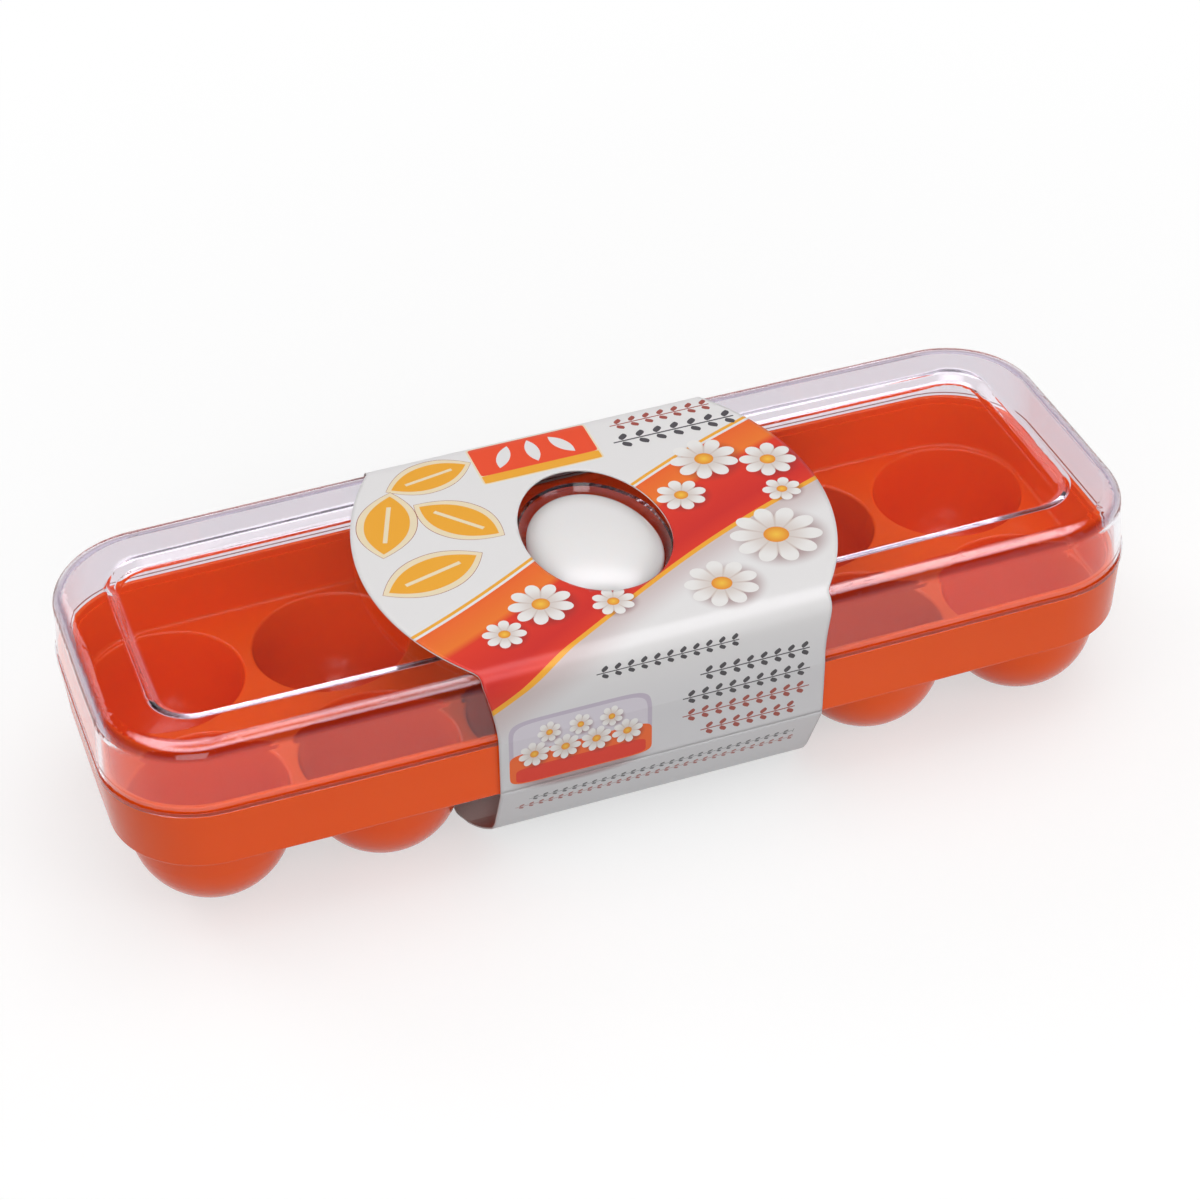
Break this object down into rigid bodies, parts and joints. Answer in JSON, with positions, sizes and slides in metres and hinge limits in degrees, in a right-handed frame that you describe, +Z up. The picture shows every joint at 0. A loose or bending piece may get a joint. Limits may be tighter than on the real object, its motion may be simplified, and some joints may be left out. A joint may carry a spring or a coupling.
{
  "type": "egg keeper with flip lid",
  "caption": "Long egg keeper: moulded tray with rows of round egg cups, clear hinged flip lid with an egg-shaped medallion, and a printed card sleeve round the middle.",
  "frame": {"origin": "middle of the face that the keeper rests on, the underside of the card sleeve's bottom panel", "axes": "+X along the length, +Y towards the hinge at the back, +Z up"},
  "size_m": [0.3378, 0.1297, 0.0786],
  "materials": {
    "tray_plastic": "glossy injection-moulded orange plastic, slightly translucent",
    "lid_plastic": "clear glossy moulded plastic",
    "medallion_plastic": "glossy opaque white plastic",
    "sleeve_card": "coated solid board with a printed face"
  },
  "bodies": {
    "base": {"base_tray": "tray_plastic"},
    "lid": {"lid": "lid_plastic", "egg_medallion": "medallion_plastic"},
    "sleeve_lower": {"sleeve_lower": "sleeve_card"},
    "sleeve_upper": {"sleeve_upper": "sleeve_card"}
  },
  "joints": [
    {"name": "lid_flip", "type": "hinge", "parent": "base", "child": "lid", "pos_m": [0, 0.0641, 0.0538], "axis": [-1, 0, 0], "range_deg": [0, 95]},
    {"name": "sleeve_slide", "type": "slide", "parent": "base", "child": "sleeve_lower", "axis": [1, 0, 0], "range_m": [0, 0.25]},
    {"name": "sleeve_fold", "type": "hinge", "parent": "sleeve_lower", "child": "sleeve_upper", "pos_m": [0, 0.0641, 0.0538], "axis": [-1, 0, 0], "range_deg": [0, 95]}
  ],
  "couplings": [
    {"joint": "sleeve_fold", "follows": "lid_flip", "ratio": 1}
  ]
}
